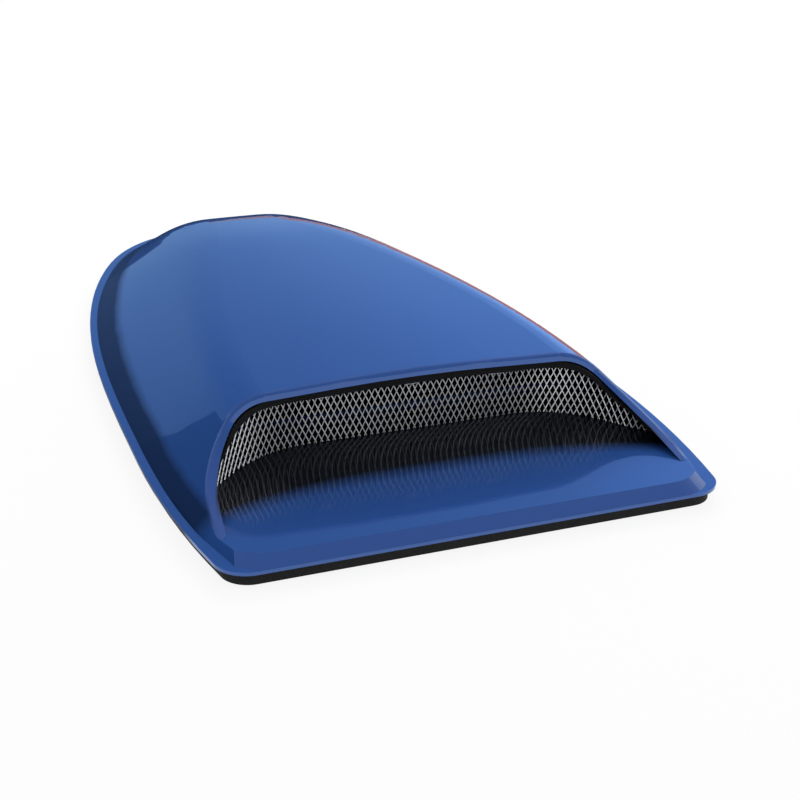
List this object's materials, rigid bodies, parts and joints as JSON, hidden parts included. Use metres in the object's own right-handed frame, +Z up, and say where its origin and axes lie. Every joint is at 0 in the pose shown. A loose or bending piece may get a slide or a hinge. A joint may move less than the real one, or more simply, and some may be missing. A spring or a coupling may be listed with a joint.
{
  "type": "air intake scoop",
  "caption": "Low bonnet air intake scoop with a raked front mouth, an expanded metal grille, a base flange on a rubber seal and threaded inserts underneath.",
  "frame": {"origin": "middle of the base, on the plane that the rubber seal stands on", "axes": "+Z up from the vehicle's panel, X across the scoop, the mouth faces -Y and the tail points to +Y"},
  "size_m": [0.492, 0.91, 0.0936],
  "materials": {
    "shell_paint": "glossy mid-blue paint",
    "mesh_metal": "bright expanded sheet",
    "seal_rubber": "matt black",
    "insert_brass": "turned",
    "clip_steel": "zinc plated",
    "screw_steel": "zinc plated"
  },
  "bodies": {
    "root": {"scoop_shell": "shell_paint", "grille_mesh": "mesh_metal", "base_seal": "seal_rubber", "threaded_inserts": "insert_brass", "mesh_clips": "clip_steel", "clip_screws": "screw_steel"}
  },
  "joints": []
}
